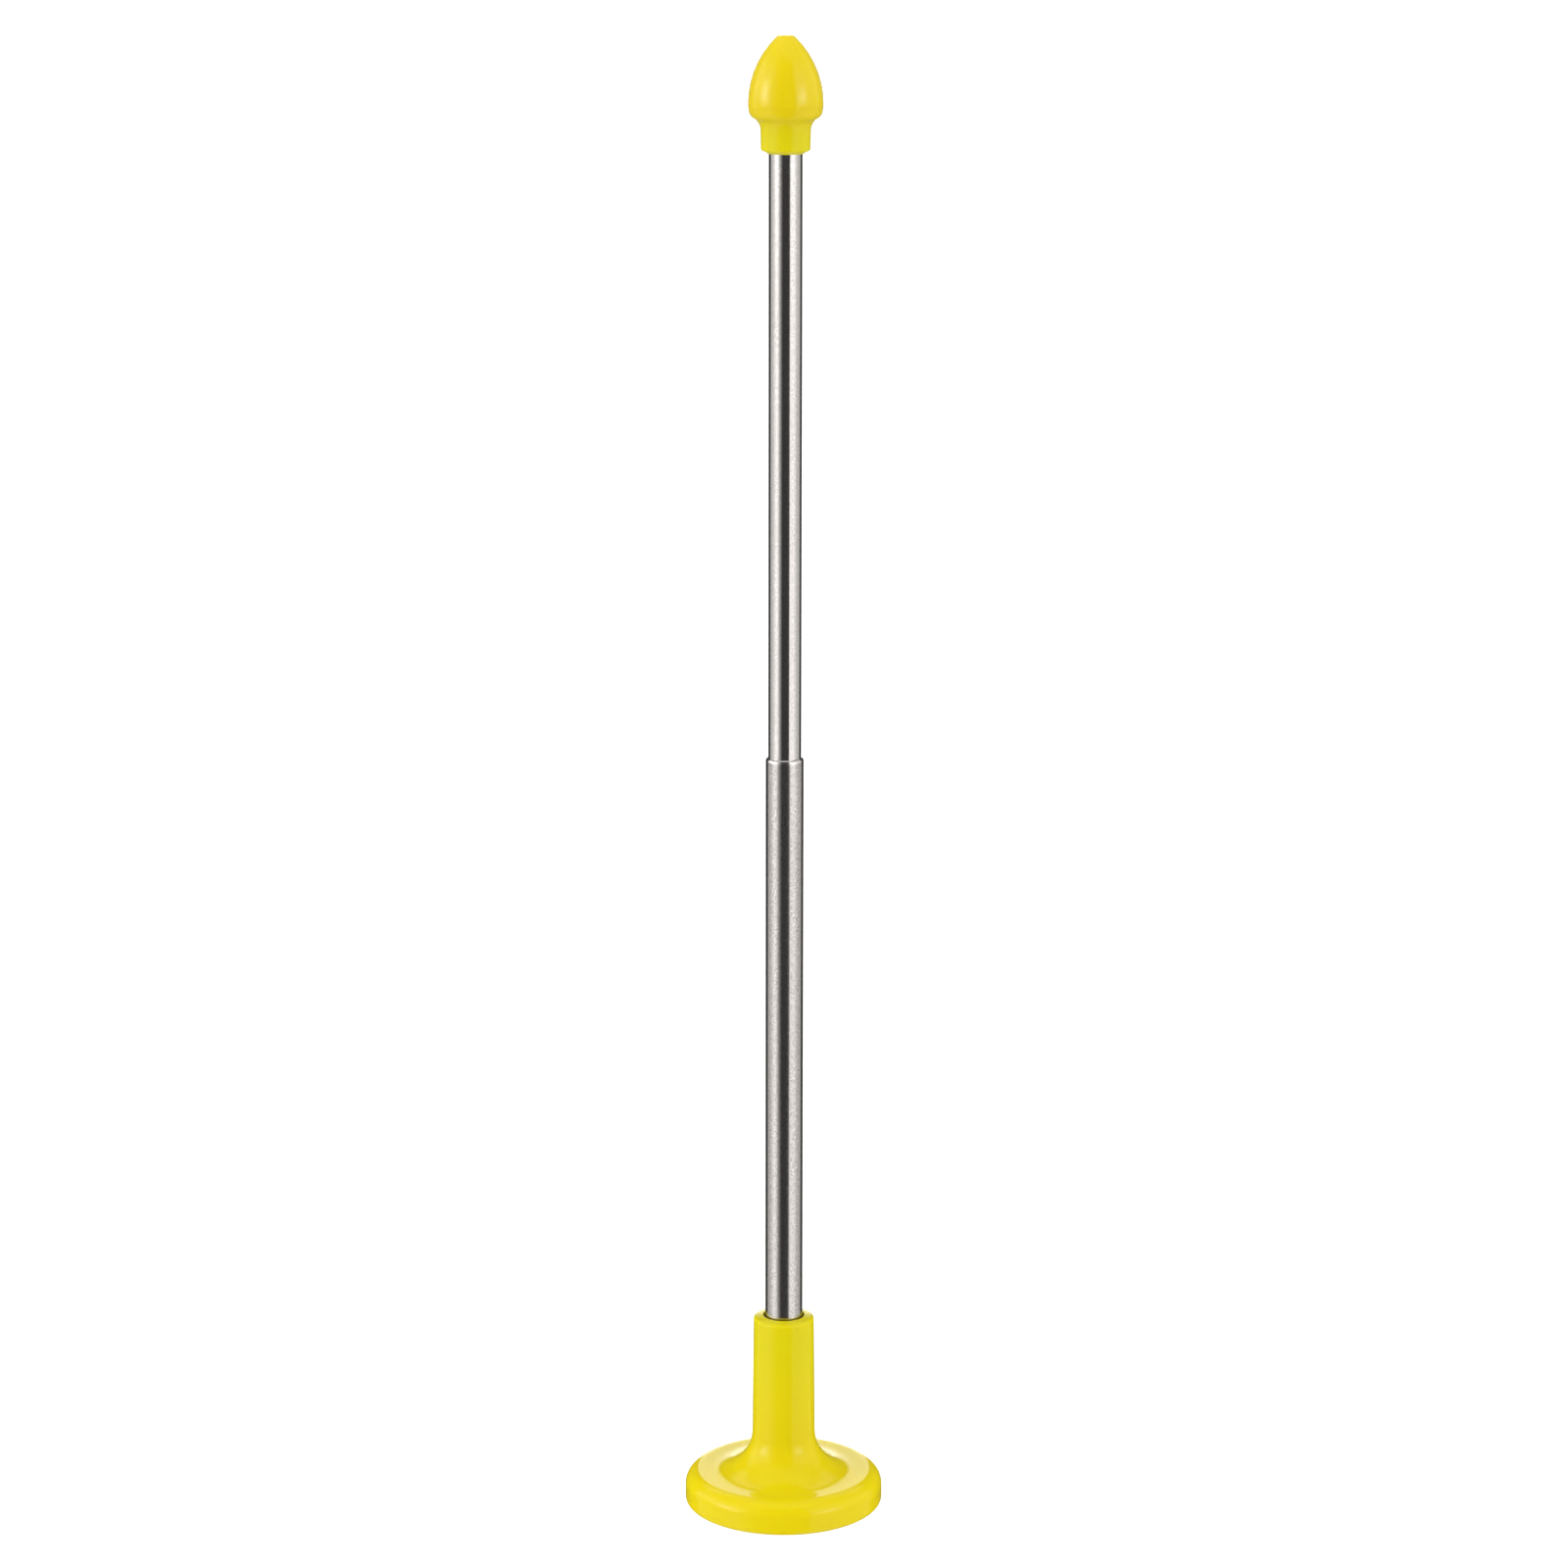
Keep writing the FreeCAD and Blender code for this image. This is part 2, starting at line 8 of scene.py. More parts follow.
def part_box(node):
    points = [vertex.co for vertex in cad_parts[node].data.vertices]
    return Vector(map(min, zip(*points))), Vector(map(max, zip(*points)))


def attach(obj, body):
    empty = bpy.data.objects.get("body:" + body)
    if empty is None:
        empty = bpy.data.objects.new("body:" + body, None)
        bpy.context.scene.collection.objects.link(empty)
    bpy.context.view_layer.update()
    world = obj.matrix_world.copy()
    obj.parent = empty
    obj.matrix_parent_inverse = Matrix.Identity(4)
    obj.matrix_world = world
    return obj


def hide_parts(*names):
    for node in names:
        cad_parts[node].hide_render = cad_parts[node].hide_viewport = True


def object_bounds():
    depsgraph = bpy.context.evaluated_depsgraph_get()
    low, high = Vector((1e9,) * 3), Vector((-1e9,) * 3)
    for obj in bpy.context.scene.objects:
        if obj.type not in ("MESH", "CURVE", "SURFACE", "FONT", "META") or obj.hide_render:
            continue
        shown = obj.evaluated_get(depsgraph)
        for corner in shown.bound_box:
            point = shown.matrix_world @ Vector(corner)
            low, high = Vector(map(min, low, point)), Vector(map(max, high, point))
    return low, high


# A telescopic steel rod on a round yellow foot, with a yellow bullet-shaped tip. The pieces that can be
# seen are turned meshes with the CAD pieces' own sizes. The screw under the foot and the pieces inside
# keep their CAD meshes.

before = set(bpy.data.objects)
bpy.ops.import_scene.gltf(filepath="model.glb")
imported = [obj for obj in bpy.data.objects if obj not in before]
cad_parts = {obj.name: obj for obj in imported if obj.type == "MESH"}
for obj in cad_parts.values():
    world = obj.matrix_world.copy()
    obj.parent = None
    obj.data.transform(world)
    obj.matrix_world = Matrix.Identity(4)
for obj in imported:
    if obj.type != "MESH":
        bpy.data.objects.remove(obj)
cad_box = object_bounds()

MM = 0.001

# How finely the pieces are turned: the faces round them, the largest step along an arc, the distance
# of a guard point from its corner, the radius that counts as none, and the angle of a sharp edge.
SEGMENTS = 224
ARC_STEP = math.radians(7.5)
GUARD = 0.12 * MM
ON_AXIS = 1e-8
SHARP_ANGLE = math.radians(28)


# ---------------------------------------------------------------------------------------- outlines
# An outline is a list of edges, each given by where it ends, in millimetres: (across, up) for a
# straight edge, or (across, up, radius, turn) for an arc that bends left (1) or right (-1). The first
# edge starts where the last one ends.


def straight_points(start, end):
    """The points of a straight edge after its start, with a guard point near each end, so that the
    shading of a rounded neighbour doesn't spread along it."""
    along = end - start
    if along.length < 4 * GUARD:
        return [end]
    guard = along.normalized() * GUARD
    return [start + guard, end - guard, end]


def arc_points(start, end, radius, turn):
    """The points of an arc shorter than a half turn, after its start."""
    chord = end - start
    height = math.sqrt(max(radius**2 - (chord.length / 2) ** 2, 0.0))
    side = Vector((-chord.y, chord.x)).normalized() * (height * turn)
    centre = (start + end) / 2 + side
    sweep = 2 * math.asin(min(chord.length / 2 / radius, 1.0))
    steps = max(3, math.ceil(sweep / ARC_STEP))
    spoke = start - centre
    points = []
    for step in range(1, steps + 1):
        angle = turn * sweep * step / steps
        cosine, sine = math.cos(angle), math.sin(angle)
        across = spoke.x * cosine - spoke.y * sine
        up = spoke.x * sine + spoke.y * cosine
        points.append(centre + Vector((across, up)))
    return points


def outline_points(outline):
    """The outline's points in metres."""
    ends = [Vector((edge[0], edge[1])) * MM for edge in outline]
    points = []
    for number, edge in enumerate(outline):
        start, end = ends[number - 1], ends[number]
        if len(edge) == 2:
            points += straight_points(start, end)
        else:
            points += arc_points(start, end, edge[2] * MM, edge[3])
    return points


def turned(name, outline):
    """A closed mesh object turned about Z from an outline. Points on the axis become single vertices."""
    shape = bmesh.new()
    rings = []
    for point in outline_points(outline):
        if point.x < ON_AXIS:
            rings.append([shape.verts.new((0, 0, point.y))])
            continue
        ring = []
        for number in range(SEGMENTS):
            angle = 2 * math.pi * number / SEGMENTS
            ring.append(shape.verts.new((point.x * math.cos(angle), point.x * math.sin(angle), point.y)))
        rings.append(ring)
    for number, ring in enumerate(rings):
        before = rings[number - 1]
        if len(ring) == 1 and len(before) == 1:
            continue
        for here in range(SEGMENTS):
            there = (here + 1) % SEGMENTS
            corners = [before[here % len(before)], before[there % len(before)]]
            corners += [ring[there % len(ring)], ring[here % len(ring)]]
            shape.faces.new(list(dict.fromkeys(corners)))
    bmesh.ops.recalc_face_normals(shape, faces=shape.faces)
    return finished_mesh(name, shape)


def finished_mesh(name, shape):
    """Turns a bmesh into an object, smooth apart from its sharp edges."""
    mesh = bpy.data.meshes.new(name)
    shape.to_mesh(mesh)
    shape.free()
    mesh.shade_smooth()
    mesh.set_sharp_from_angle(angle=SHARP_ANGLE)
    piece = bpy.data.objects.new(name, mesh)
    bpy.context.scene.collection.objects.link(piece)
    return piece


# --------------------------------------------------------------------------------------- materials


def rgb(red, green, blue):
    """A colour given as sRGB from 0 to 255, as linear RGBA."""
    linear = []
    for value in (red, green, blue):
        share = value / 255
        linear.append(share / 12.92 if share <= 0.04045 else ((share + 0.055) / 1.055) ** 2.4)
    return (*linear, 1.0)


class Tree:
    """A node tree with short calls for the nodes that the materials share. Each input is either a
    value or another node's output."""

    def __init__(self, tree):
        self.tree = tree
        tree.nodes.clear()

    def node(self, kind, inputs=None, **settings):
        made = self.tree.nodes.new(kind)
        for name, value in settings.items():
            setattr(made, name, value)
        self.feed(made, inputs or {})
        return made

    def feed(self, node, inputs):
        """Links or sets a node's inputs."""
        for key, value in inputs.items():
            if isinstance(value, bpy.types.NodeSocket):
                self.tree.links.new(value, node.inputs[key])
            else:
                node.inputs[key].default_value = value

    def math(self, operation, first, second=0.0, third=0.0):
        inputs = {0: first, 1: second, 2: third}
        return self.node("ShaderNodeMath", inputs, operation=operation).outputs[0]

    def noise(self, vector, scale, detail):
        """Noise from 0 to 1, with scale lumps to each unit of the vector."""
        inputs = {"Vector": vector, "Scale": scale, "Detail": detail}
        return self.node("ShaderNodeTexNoise", inputs).outputs["Fac"]

    def spread(self, value, low, high, to_low, to_high):
        """value from low..high to to_low..to_high, held at the ends."""
        inputs = {0: value, 1: low, 2: high, 3: to_low, 4: to_high}
        return self.node("ShaderNodeMapRange", inputs, clamp=True).outputs[0]

    def mix(self, share, first, second, blend="MIX"):
        """share of the second colour over the first."""
        made = self.node("ShaderNodeMix", data_type="RGBA", blend_type=blend)
        self.feed(made, {0: share, 6: first, 7: second})
        return made.outputs[2]

    def ramp(self, value, stops):
        """Colours at positions from 0 to 1, straight between them."""
        made = self.node("ShaderNodeValToRGB", {"Fac": value})
        elements = made.color_ramp.elements
        while len(elements) > 1:
            elements.remove(elements[-1])
        elements[0].position, elements[0].color = stops[0]
        for position, colour in stops[1:]:
            elements.new(position).color = colour
        return made.outputs["Color"]


def surface(name):
    """A new material's Tree and its Principled node, with the object's own coordinates."""
    material = bpy.data.materials.new(name)
    material.use_nodes = True
    tree = Tree(material.node_tree)
    shader = tree.node("ShaderNodeBsdfPrincipled")
    tree.node("ShaderNodeOutputMaterial", {"Surface": shader.outputs[0]})
    coordinates = tree.node("ShaderNodeTexCoord").outputs["Object"]
    return material, tree, shader, coordinates


def bump(tree, height, depth, under=None):
    """A normal for relief of this depth in metres, on top of the normal under it."""
    inputs = {"Height": height, "Distance": depth, "Strength": 1.0}
    if under is not None:
        inputs["Normal"] = under
    return tree.node("ShaderNodeBump", inputs).outputs["Normal"]


# The range that most of a noise's values fall in.
MOST_OF_NOISE = (0.3, 0.7)

# How far light goes inside the yellow plastic, which lets little blue through.
SCATTER_SHARE = 0.3
SCATTER_BY_COLOUR = (1.0, 0.8, 0.1)
SCATTER_LENGTH = 1.2 * MM


def yellow_plastic(name, low, high, low_colour, high_colour, gloss, haze):
    """Glossy moulded plastic, whose colour turns from one to the other between two heights. haze makes
    its edges paler."""
    material, tree, shader, place = surface(name)
    mottle_colour, mottle_share = rgb(214, 178, 8), 0.06
    speck_colour, speck_share, speck_peaks = rgb(196, 170, 30), 0.35, (0.78, 0.84)
    smoothest, roughest = 0.05, 0.09
    flow_depth, grain_depth = 0.012 * MM, 0.0016 * MM
    mottle = tree.noise(place, scale=140.0, detail=3.0)
    flow = tree.noise(place, scale=420.0, detail=2.0)
    speck = tree.noise(place, scale=1900.0, detail=1.0)
    grain = tree.noise(place, scale=2600.0, detail=2.0)

    height = tree.node("ShaderNodeSeparateXYZ", {0: place}).outputs["Z"]
    colour = tree.mix(tree.spread(height, low, high, 0.0, 1.0), low_colour, high_colour)
    colour = tree.mix(tree.spread(mottle, *MOST_OF_NOISE, 0.0, mottle_share), colour, mottle_colour)
    colour = tree.mix(tree.spread(speck, *speck_peaks, 0.0, speck_share), colour, speck_colour)
    normal = bump(tree, flow, flow_depth)
    normal = bump(tree, grain, grain_depth, under=normal)
    inputs = {"Base Color": colour, "Normal": normal}
    inputs["Roughness"] = tree.spread(flow, *MOST_OF_NOISE, smoothest, roughest)
    inputs |= {"IOR": 1.5, "Specular IOR Level": gloss}
    inputs |= {"Sheen Weight": haze, "Sheen Roughness": 0.3}
    inputs |= {"Subsurface Weight": SCATTER_SHARE, "Subsurface Radius": SCATTER_BY_COLOUR}
    inputs["Subsurface Scale"] = SCATTER_LENGTH
    tree.feed(shader, inputs)
    return material


def unrolled(tree, place, radius):
    """A tube's skin laid flat: round the tube, along it, and 0, in metres."""
    parts = tree.node("ShaderNodeSeparateXYZ", {0: place}).outputs
    angle = tree.math("ARCTAN2", parts["Y"], parts["X"])
    inputs = {"X": tree.math("MULTIPLY", angle, radius), "Y": parts["Z"], "Z": 0.0}
    return tree.node("ShaderNodeCombineXYZ", inputs).outputs[0]


def streaks(tree, flat, degrees, across, along):
    """Noise stretched along lines at an angle to the tube's rings. across and along are lengths."""
    turn = {"Vector": flat, "Axis": (0, 0, 1), "Angle": math.radians(degrees)}
    rotated = tree.node("ShaderNodeVectorRotate", turn).outputs[0]
    stretch = {0: rotated, 1: (1 / along, 1 / across, 1.0)}
    scaled = tree.node("ShaderNodeVectorMath", stretch, operation="MULTIPLY")
    return tree.noise(scaled.outputs[0], scale=1.0, detail=2.0)


def steel_tube(name, radius, tint, roughness, marked, speckled):
    """Polished steel tube, with the crossed spiral marks of its polishing belt and a fine speckle.
    marked and speckled are how much of the tint each one takes away at most."""
    material, tree, shader, place = surface(name)
    belt_angle, speckle_size = 52, 0.2 * MM
    dull_tint, dull_share = rgb(176, 168, 160), 0.1
    roughness_change, drawn_change = 0.15, 0.01
    mark_depth, speckle_depth = (0.0012 + marked * 0.01) * MM, speckled * 0.006 * MM
    drawn_depth = 0.0008 * MM
    flat = unrolled(tree, place, radius)
    rising = streaks(tree, flat, belt_angle, across=0.2 * MM, along=1.4 * MM)
    falling = streaks(tree, flat, -belt_angle, across=0.22 * MM, along=1.2 * MM)
    drawn = streaks(tree, flat, 90, across=0.35 * MM, along=60 * MM)
    speckle = tree.noise(place, scale=1 / speckle_size, detail=1.0)
    cloud = tree.noise(place, scale=90.0, detail=3.0)
    marks = tree.math("MULTIPLY", tree.math("ADD", rising, falling), 0.5)

    bright = tree.spread(marks, 0.38, 0.62, 1 - marked, 1.0)
    bright = tree.math("MULTIPLY", bright, tree.spread(speckle, 0.36, 0.64, 1 - speckled, 1.0))
    grey = tree.node("ShaderNodeCombineColor", {0: bright, 1: bright, 2: bright}).outputs[0]
    tone = tree.mix(1.0, tint, grey, "MULTIPLY")
    tone = tree.mix(tree.spread(cloud, 0.35, 0.65, 0.0, dull_share), tone, dull_tint)
    smoothest, roughest = roughness * (1 - roughness_change), roughness * (1 + roughness_change)
    rough = tree.spread(marks, 0.35, 0.65, smoothest, roughest)
    drawn_rough = tree.spread(drawn, *MOST_OF_NOISE, -drawn_change, drawn_change)
    rough = tree.math("ADD", rough, drawn_rough)
    normal = bump(tree, marks, mark_depth)
    normal = bump(tree, speckle, speckle_depth, under=normal)
    normal = bump(tree, drawn, drawn_depth, under=normal)
    inputs = {"Base Color": tone, "Roughness": rough, "Normal": normal, "Metallic": 1.0}
    tree.feed(shader, inputs)
    return material


def turned_metal(name, tint, worn_tint, roughness, ring_pitch):
    """Plated or turned metal with fine rings left by the lathe."""
    material, tree, shader, place = surface(name)
    worn_share, ring_depth = 0.6, 0.0015 * MM
    parts = tree.node("ShaderNodeSeparateXYZ", {0: place}).outputs
    squares = tree.math("MULTIPLY", parts["X"], parts["X"])
    squares = tree.math("MULTIPLY_ADD", parts["Y"], parts["Y"], squares)
    along = tree.math("ADD", tree.math("SQRT", squares), parts["Z"])
    rings = tree.math("SINE", tree.math("MULTIPLY", along, 2 * math.pi / ring_pitch))
    cloud = tree.noise(place, scale=260.0, detail=3.0)

    tone = tree.mix(tree.spread(cloud, 0.35, 0.7, 0.0, worn_share), tint, worn_tint)
    rough = tree.spread(cloud, *MOST_OF_NOISE, roughness * 0.8, roughness * 1.3)
    normal = bump(tree, rings, ring_depth)
    inputs = {"Base Color": tone, "Roughness": rough, "Normal": normal, "Metallic": 1.0}
    tree.feed(shader, inputs)
    return material


def black_rubber(name):
    """Matt rubber with a fine moulded grain and a little dust."""
    material, tree, shader, place = surface(name)
    clean, dusty, dust_share = rgb(30, 30, 31), rgb(70, 69, 66), 0.4
    smoothest, roughest, grain_depth = 0.6, 0.8, 0.02 * MM
    grain = tree.noise(place, scale=3200.0, detail=2.0)
    dust = tree.noise(place, scale=500.0, detail=4.0)

    tone = tree.mix(tree.spread(dust, 0.5, 0.75, 0.0, dust_share), clean, dusty)
    rough = tree.spread(grain, *MOST_OF_NOISE, smoothest, roughest)
    inputs = {"Base Color": tone, "Roughness": rough, "Normal": bump(tree, grain, grain_depth)}
    tree.feed(shader, inputs)
    return material


# ------------------------------------------------------------------------------------------ pieces

# Each CAD piece's box in millimetres, which gives the outlines their main sizes, and the sizes that
# several pieces share.
BOX = {name: [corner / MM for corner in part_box(name)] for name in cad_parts}
STATIC_GAP = 0.02
TUBE_WALL = 0.3
SCREW_HOLE = 2.25


def top_of(node):
    return BOX[node][1].z


def bottom_of(node):
    return BOX[node][0].z


def radius_of(node):
    return BOX[node][1].x


def foot_outline():
    """The moulding: base, flared neck, socket and the seats underneath."""
    underside, top = bottom_of("foot"), top_of("foot")
    outer, plateau = radius_of("foot"), 6.95
    low_round, top_round, flare = 1.1, 3.1, 8.45
    low_neck, high_neck, rim_round, crown_angle = 6.35, 6.1, 0.65, math.radians(12)
    mouth, mouth_round, mouth_bottom = 4.1, 0.15, top - 1.2
    cone_inside = mouth + mouth_round + mouth_round * math.sin(crown_angle)
    cone_outside = high_neck - rim_round + rim_round * math.sin(crown_angle)
    cone_high = top - mouth_round + mouth_round * math.cos(crown_angle)
    cone_low = cone_high - (cone_outside - cone_inside) * math.tan(crown_angle)
    socket, socket_floor = radius_of("lower_tube") + STATIC_GAP, 9.0
    ring_seat = radius_of("rubber_ring") + STATIC_GAP
    ring_seat_top = top_of("rubber_ring") + STATIC_GAP
    magnet_gap = 0.1
    magnet_seat = radius_of("magnet") + magnet_gap
    magnet_seat_top = top_of("steel_plate") + STATIC_GAP
    return [
        (SCREW_HOLE, magnet_seat_top),
        (magnet_seat, magnet_seat_top),
        (magnet_seat, ring_seat_top),
        (ring_seat, ring_seat_top),
        (ring_seat, underside),
        (outer - low_round, underside),
        (outer, underside + low_round, low_round, 1),
        (outer, plateau - top_round),
        (outer - top_round, plateau, top_round, 1),
        (low_neck + flare, plateau),
        (low_neck, plateau + flare, flare, -1),
        (high_neck, cone_low - rim_round * math.cos(crown_angle)),
        (cone_outside, cone_low, rim_round, 1),
        (cone_inside, cone_high),
        (mouth, top - mouth_round, mouth_round, 1),
        (mouth, mouth_bottom),
        (socket, mouth_bottom - (mouth - socket)),
        (socket, socket_floor),
        (SCREW_HOLE, socket_floor),
    ]


def ring_outline():
    """The rubber ring that the foot stands on."""
    inner, outer, top, edge = 15.25, radius_of("rubber_ring"), top_of("rubber_ring"), 0.3
    return [
        (inner, top),
        (inner, edge),
        (inner + edge, 0, edge, 1),
        (outer - edge, 0),
        (outer, edge, edge, 1),
        (outer, top),
    ]


def magnet_outline():
    """The disc magnet, with its hole countersunk for the screw's head."""
    face, top, outer = bottom_of("magnet"), top_of("magnet"), radius_of("magnet")
    edge, head_land = 0.3, 0.25
    head_depth = bottom_of("foot_screw") - face
    cone = radius_of("foot_screw") + head_land + head_depth + STATIC_GAP * 2
    return [
        (SCREW_HOLE, top),
        (SCREW_HOLE, face + cone - SCREW_HOLE),
        (cone, face),
        (outer - edge, face),
        (outer, face + edge, edge, 1),
        (outer, top - edge),
        (outer - edge, top, edge, 1),
    ]


def lower_tube_outline():
    """The thicker tube: rolled into the plug's groove near its foot, and in to a lip at its top."""
    outer, bottom, top = radius_of("lower_tube"), bottom_of("lower_tube"), top_of("lower_tube")
    inner, lip, lip_edge, lip_round = outer - TUBE_WALL, 3.29, 3.37, 1.0
    rise = math.sqrt(lip_round**2 - (lip_round - outer + lip_edge) ** 2)
    low, middle, high, depth = 12.8, 13.6, 14.4, 0.3
    crimp = ((high - middle) ** 2 + depth**2) / (2 * depth)
    lip_start = top - (outer - lip)
    return [
        (inner, bottom),
        (outer, bottom),
        (outer, low),
        (outer - depth, middle, crimp, -1),
        (outer, high, crimp, -1),
        (outer, top - rise),
        (lip_edge, top, lip_round, 1),
        (lip, top),
        (lip, lip_start + inner - lip),
        (inner, lip_start, inner - lip, -1),
        (inner, high),
        (inner - depth, middle, crimp, 1),
        (inner, low, crimp, 1),
    ]


def upper_tube_outline():
    """The thinner tube, open at both ends."""
    outer, bottom, top = radius_of("upper_tube"), bottom_of("upper_tube"), top_of("upper_tube")
    inner = outer - TUBE_WALL
    return [(inner, bottom), (outer, bottom), (outer, top), (inner, top)]


def tip_outline():
    """The tip: blunt nose, ogive, the mould's seam line, rounded shoulder, undercut cone and collar,
    with the tube's socket and the stud's bore inside."""
    bottom, top, radius, widest = bottom_of("tip_cap"), top_of("tip_cap"), radius_of("tip_cap"), 283.1
    ogive, blunt, blend, blend_angle = 17.3, 1.0, 6.9, math.radians(13.5)
    shoulder, cone = 1.9, math.radians(35)
    fillet, collar, low_collar, collar_round, bevel = 2.45, 4.84, 4.77, 0.6, 0.38
    socket, socket_top = radius_of("upper_tube") + STATIC_GAP, bottom + 10.84
    bore, bore_top = 2.02, bottom + 17.64
    rise, reach = top - blunt - widest, ogive - blunt
    flat = radius - ogive + math.sqrt(reach**2 - rise**2)
    ogive_across = radius - ogive + (flat - radius + ogive) * ogive / reach
    ogive_up = widest + rise * ogive / reach
    shoulder_across = radius - blend + (blend - shoulder) * math.cos(blend_angle)
    shoulder_up = widest - (blend - shoulder) * math.sin(blend_angle)
    cone_across = shoulder_across + shoulder * math.sin(cone)
    cone_up = shoulder_up - shoulder * math.cos(cone)
    fillet_across = collar + fillet - fillet * math.sin(cone)
    fillet_up = cone_up - (cone_across - fillet_across) * math.tan(cone)
    seam, seam_half, seam_depth = 282.45, 0.07, 0.035

    def blend_across(up):
        return radius - blend + math.sqrt(blend**2 - (widest - up) ** 2)

    return [
        (0, bore_top),
        (bore, bore_top),
        (bore, socket_top),
        (socket, socket_top),
        (socket, bottom),
        (socket + bevel, bottom),
        (low_collar - collar_round, bottom + bevel),
        (low_collar, bottom + bevel + collar_round, collar_round, 1),
        (collar, fillet_up - fillet * math.cos(cone)),
        (fillet_across, fillet_up, fillet, -1),
        (cone_across, cone_up),
        (
            radius - blend + blend * math.cos(blend_angle),
            widest - blend * math.sin(blend_angle),
            shoulder,
            1,
        ),
        (blend_across(seam - seam_half), seam - seam_half, blend, 1),
        (blend_across(seam) - seam_depth, seam),
        (blend_across(seam + seam_half), seam + seam_half),
        (radius, widest, blend, 1),
        (ogive_across, ogive_up, ogive, 1),
        (flat, top, blunt, 1),
        (0, top),
    ]


WARM_YELLOW = rgb(212, 193, 14)
GREEN_YELLOW = rgb(204, 192, 15)
TIP_YELLOW = rgb(209, 187, 17)
YELLOW_FOOT = yellow_plastic(
    "moulded_yellow_foot", 12 * MM, 34 * MM, WARM_YELLOW, GREEN_YELLOW, gloss=0.15, haze=0.0
)
YELLOW_TIP = yellow_plastic(
    "moulded_yellow_tip", 277.5 * MM, 281.5 * MM, GREEN_YELLOW, TIP_YELLOW, gloss=0.21, haze=0.3
)
LOWER_STEEL = steel_tube(
    "satin_steel",
    radius_of("lower_tube") * MM,
    rgb(219, 214, 210),
    roughness=0.19,
    marked=0.1,
    speckled=0.38,
)
UPPER_STEEL = steel_tube(
    "polished_steel",
    radius_of("upper_tube") * MM,
    rgb(231, 226, 222),
    roughness=0.13,
    marked=0.14,
    speckled=0.24,
)
BRASS = turned_metal(
    "turned_brass", rgb(222, 186, 108), rgb(190, 150, 80), roughness=0.24, ring_pitch=0.12 * MM
)
BRONZE = turned_metal(
    "rolled_bronze", rgb(206, 152, 104), rgb(176, 122, 80), roughness=0.3, ring_pitch=0.3 * MM
)
NICKEL = turned_metal(
    "nickel_plate", rgb(214, 208, 196), rgb(188, 182, 170), roughness=0.16, ring_pitch=0.6 * MM
)
ZINC = turned_metal(
    "zinc_plate", rgb(204, 208, 214), rgb(172, 178, 188), roughness=0.3, ring_pitch=0.25 * MM
)
RUBBER = black_rubber("black_rubber")

# Each turned piece: its name, outline, CAD node, body, slot and material.
TURNED_PIECES = [
    ("foot_moulding", foot_outline(), "foot", "stand", "yellow_plastic", YELLOW_FOOT),
    ("foot_ring", ring_outline(), "rubber_ring", "stand", "black_rubber", RUBBER),
    ("foot_magnet", magnet_outline(), "magnet", "stand", "nickel_plate", NICKEL),
    ("outer_tube", lower_tube_outline(), "lower_tube", "stand", "satin_steel", LOWER_STEEL),
    ("inner_tube", upper_tube_outline(), "upper_tube", "rod", "polished_steel", UPPER_STEEL),
    ("bullet_tip", tip_outline(), "tip_cap", "rod", "yellow_plastic", YELLOW_TIP),
]
for name, outline, node, body, slot, material in TURNED_PIECES:
    piece = turned(name, outline)
    piece.data.materials.append(material)
    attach(piece, body)
    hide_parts(node)

# The CAD nodes that keep their own meshes.
CARRIED_NODES = {
    "steel_plate": ZINC,
    "foot_screw": ZINC,
    "tube_plug": BRASS,
    "sliding_bush": BRASS,
    "tip_stud": BRASS,
    "grip_leaf_left": BRONZE,
    "grip_leaf_right": BRONZE,
}
for node, material in CARRIED_NODES.items():
    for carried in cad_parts[node].material_slots:
        carried.material = material


# ------------------------------------------------------------------------------------------- stage


def azimuth_stop(degrees, level):
    """A ramp stop at degrees from the camera's side, positive to the camera's right."""
    return (0.5 + degrees / 360, (level, level, level, 1.0))


def elevation_stop(degrees, level):
    """A ramp stop at degrees above the horizon."""
    return (0.5 + degrees / 180, (level, level, level, 1.0))


# The tent's light is what WALLS gives round the object times what WALL_HEIGHTS gives up it.
WALLS = [
    azimuth_stop(-180, 0.03),
    azimuth_stop(-122, 0.03),
    azimuth_stop(-118, 0.45),
    azimuth_stop(-96, 0.5),
    azimuth_stop(-78, 0.75),
    azimuth_stop(-64, 1.0),
    azimuth_stop(-54, 0.95),
    azimuth_stop(-36, 0.3),
    azimuth_stop(-20, 0.035),
    azimuth_stop(29, 0.035),
    azimuth_stop(33, 0.9),
    azimuth_stop(64, 0.9),
    azimuth_stop(86, 0.55),
    azimuth_stop(120, 0.38),
    azimuth_stop(124, 0.03),
    azimuth_stop(180, 0.03),
]
WALL_HEIGHTS = [
    elevation_stop(-90, 1.5),
    elevation_stop(-4, 1.5),
    elevation_stop(5, 2.4),
    elevation_stop(24, 2.4),
    elevation_stop(34, 2.1),
    elevation_stop(52, 0.8),
    elevation_stop(62, 0.2),
    elevation_stop(90, 0.1),
]

